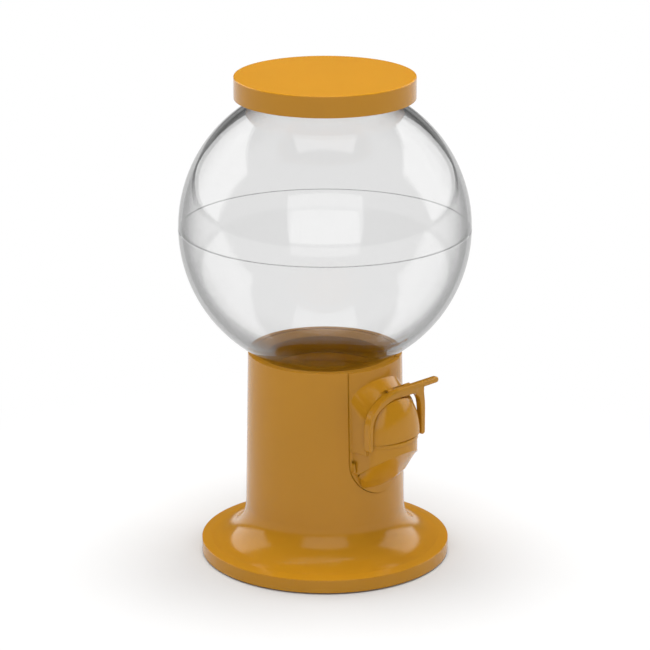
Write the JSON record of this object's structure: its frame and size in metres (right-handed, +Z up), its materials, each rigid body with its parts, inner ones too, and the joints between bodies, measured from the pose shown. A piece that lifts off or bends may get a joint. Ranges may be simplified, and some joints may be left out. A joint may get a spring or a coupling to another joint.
{
  "type": "gumball machine",
  "caption": "Tabletop gumball machine: clear globe with lift-off cap on a flared column, with a lift-up flap and thumb lever over the candy tray.",
  "frame": {"origin": "middle of the footprint, on the surface that the feet stand on", "axes": "+Z up, the spout and its flap face -Y, the thumb tab points to +X"},
  "size_m": [0.124, 0.124, 0.2107],
  "materials": {
    "body_plastic": "gloss",
    "clear_globe": "clear",
    "screw_steel": "satin",
    "foot_rubber": "matte",
    "liner_foam": "matte"
  },
  "bodies": {
    "machine": {"base_column": "body_plastic", "bottom_cover": "body_plastic", "cover_screw_1": "screw_steel", "cover_screw_2": "screw_steel", "cover_screw_3": "screw_steel", "foot_1": "foot_rubber", "foot_2": "foot_rubber", "foot_3": "foot_rubber", "foot_4": "foot_rubber", "candy_hopper": "body_plastic", "spout_panel": "body_plastic", "globe_lower": "clear_globe", "globe_upper": "clear_globe", "globe_lock_ring": "body_plastic"},
    "flap": {"flap_lever": "body_plastic", "flap_dome": "body_plastic", "hinge_pin": "screw_steel"},
    "cap": {"cap": "body_plastic", "cap_liner": "liner_foam"}
  },
  "joints": [
    {"name": "flap_hinge", "type": "hinge", "parent": "machine", "child": "flap", "pos_m": [0.004, -0.0396, 0.0818], "axis": [-1, 0, 0], "range_deg": [0, 75]},
    {"name": "cap_lift", "type": "slide", "parent": "machine", "child": "cap", "axis": [0, 0, 1], "range_m": [0, 0.04]}
  ]
}
